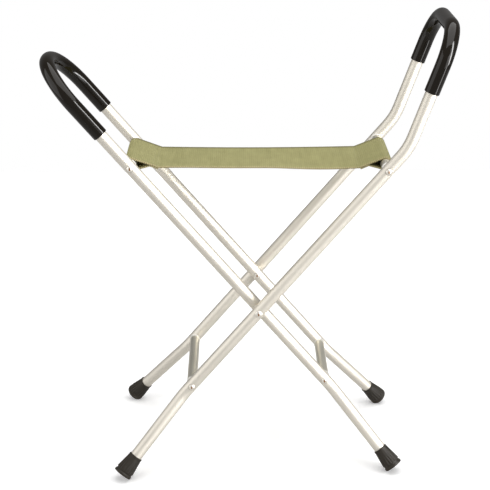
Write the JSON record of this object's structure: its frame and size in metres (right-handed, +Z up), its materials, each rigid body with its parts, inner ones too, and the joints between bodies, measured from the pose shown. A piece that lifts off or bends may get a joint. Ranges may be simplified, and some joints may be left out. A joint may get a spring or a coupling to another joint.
{
  "type": "folding walking stick seat",
  "caption": "Folding stool that closes into a stick: two crossed bent tube frames on pivot rivets, a webbing sling seat, looped grips and splayed rubber feet.",
  "frame": {"origin": "centre of the overall box at floor level, under the opened stool", "axes": "+Z up, +X from the inner frame's handle towards the outer frame's handle, +Y away from the viewer across the stool, along the pivot axis"},
  "size_m": [0.6614, 0.331, 0.7525],
  "materials": {
    "frame_aluminium": "satin anodised tube",
    "bar_aluminium": "satin anodised tube",
    "saddle_plastic": "moulded pale grey plastic",
    "rivet_steel": "bright plated domed rivet",
    "washer_nylon": "natural nylon",
    "disc_steel": "plain steel, hidden in the ferrule",
    "grip_vinyl": "glossy black vinyl sleeve",
    "ferrule_rubber": "dark grey-brown moulded rubber",
    "seat_webbing": "olive ribbed webbing with bound selvedges"
  },
  "bodies": {
    "inner_frame": {"inner_frame_tube": "frame_aluminium", "inner_grip": "grip_vinyl", "inner_seat_bar": "bar_aluminium", "inner_seat_bar_saddles": "saddle_plastic", "inner_seat_bar_rivets": "rivet_steel", "inner_lower_bar": "bar_aluminium", "inner_lower_bar_saddles": "saddle_plastic", "inner_lower_bar_rivets": "rivet_steel", "inner_near_ferrule": "ferrule_rubber", "inner_far_ferrule": "ferrule_rubber", "inner_ferrule_discs": "disc_steel", "near_pivot_rivet": "rivet_steel", "near_pivot_washer": "washer_nylon", "far_pivot_rivet": "rivet_steel", "far_pivot_washer": "washer_nylon"},
    "outer_frame": {"outer_frame_tube": "frame_aluminium", "outer_grip": "grip_vinyl", "outer_seat_bar": "bar_aluminium", "outer_seat_bar_saddles": "saddle_plastic", "outer_seat_bar_rivets": "rivet_steel", "outer_lower_bar": "bar_aluminium", "outer_lower_bar_saddles": "saddle_plastic", "outer_lower_bar_rivets": "rivet_steel", "outer_near_ferrule": "ferrule_rubber", "outer_far_ferrule": "ferrule_rubber", "outer_ferrule_discs": "disc_steel"},
    "seat_inner_half": {"seat_webbing_inner_half": "seat_webbing"},
    "seat_outer_half": {"seat_webbing_outer_half": "seat_webbing"}
  },
  "joints": [
    {"name": "frame_fold", "type": "hinge", "parent": "inner_frame", "child": "outer_frame", "pos_m": [0.01794, 0, 0.27999], "axis": [0, -1, 0], "range_deg": [0, 73], "deforming": ["seat_webbing_inner_half", "seat_webbing_outer_half"]},
    {"name": "seat_sleeve_turn", "type": "hinge", "parent": "inner_frame", "child": "seat_inner_half", "pos_m": [-0.18623, 0, 0.52117], "axis": [0, 1, 0], "range_deg": [0, 47.69]},
    {"name": "seat_crease", "type": "hinge", "parent": "seat_inner_half", "child": "seat_outer_half", "pos_m": [0.01794, 0, 0.52117], "axis": [0, -1, 0], "range_deg": [0, 168.38]}
  ],
  "couplings": [
    {"joint": "seat_sleeve_turn", "follows": "frame_fold", "ratio": 0.65329},
    {"joint": "seat_crease", "follows": "frame_fold", "ratio": 2.3066}
  ]
}
